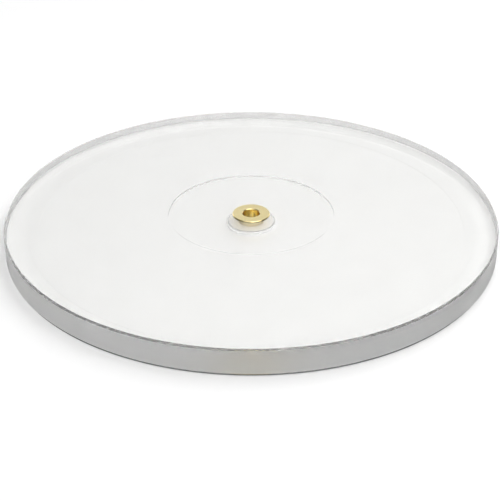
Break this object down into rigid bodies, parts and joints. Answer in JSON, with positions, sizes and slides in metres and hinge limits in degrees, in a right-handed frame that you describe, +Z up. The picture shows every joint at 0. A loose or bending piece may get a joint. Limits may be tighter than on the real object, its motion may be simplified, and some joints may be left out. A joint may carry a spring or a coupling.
{
  "type": "display turntable",
  "caption": "Low round display turntable: thick clear acrylic platter with a shallow centre recess and flanged brass bush, turning on a hidden ball thrust bearing over a thin base plate.",
  "frame": {"origin": "on the table surface, under the centre of the platter", "axes": "+Z up along the turning axis, from the table to the platter's top; X and Y are horizontal, and the object looks the same from all sides"},
  "size_m": [0.3, 0.3, 0.0174],
  "materials": {
    "acrylic": "clear cast acrylic, satin faces",
    "brass": "satin turned",
    "acetal": "white, machined",
    "bearing_steel": "polished",
    "spindle_steel": "ground",
    "powder_coat": "white, fine satin",
    "ptfe": "white, waxy",
    "silicone": "matt, pale grey"
  },
  "bodies": {
    "base": {"base_plate": "powder_coat", "spindle": "spindle_steel", "lower_race": "acetal", "glide_ring": "ptfe", "foot_pad_01": "silicone", "foot_pad_02": "silicone", "foot_pad_03": "silicone", "foot_pad_04": "silicone", "foot_pad_05": "silicone", "foot_pad_06": "silicone", "foot_pad_07": "silicone", "foot_pad_08": "silicone"},
    "platter": {"platter": "acrylic", "centre_bush": "brass", "upper_race": "acetal"},
    "cage": {"ball_cage": "acetal", "ball_01": "bearing_steel", "ball_02": "bearing_steel", "ball_03": "bearing_steel", "ball_04": "bearing_steel", "ball_05": "bearing_steel", "ball_06": "bearing_steel", "ball_07": "bearing_steel", "ball_08": "bearing_steel", "ball_09": "bearing_steel", "ball_10": "bearing_steel", "ball_11": "bearing_steel", "ball_12": "bearing_steel", "ball_13": "bearing_steel", "ball_14": "bearing_steel", "ball_15": "bearing_steel", "ball_16": "bearing_steel"}
  },
  "joints": [
    {"name": "platter_spin", "type": "hinge", "parent": "base", "child": "platter", "pos_m": [0, 0, 0.0012], "axis": [0, 0, 1], "continuous": true},
    {"name": "cage_spin", "type": "hinge", "parent": "base", "child": "cage", "pos_m": [0, 0, 0.0032], "axis": [0, 0, 1], "continuous": true}
  ],
  "couplings": [
    {"joint": "cage_spin", "follows": "platter_spin", "ratio": 0.5}
  ]
}
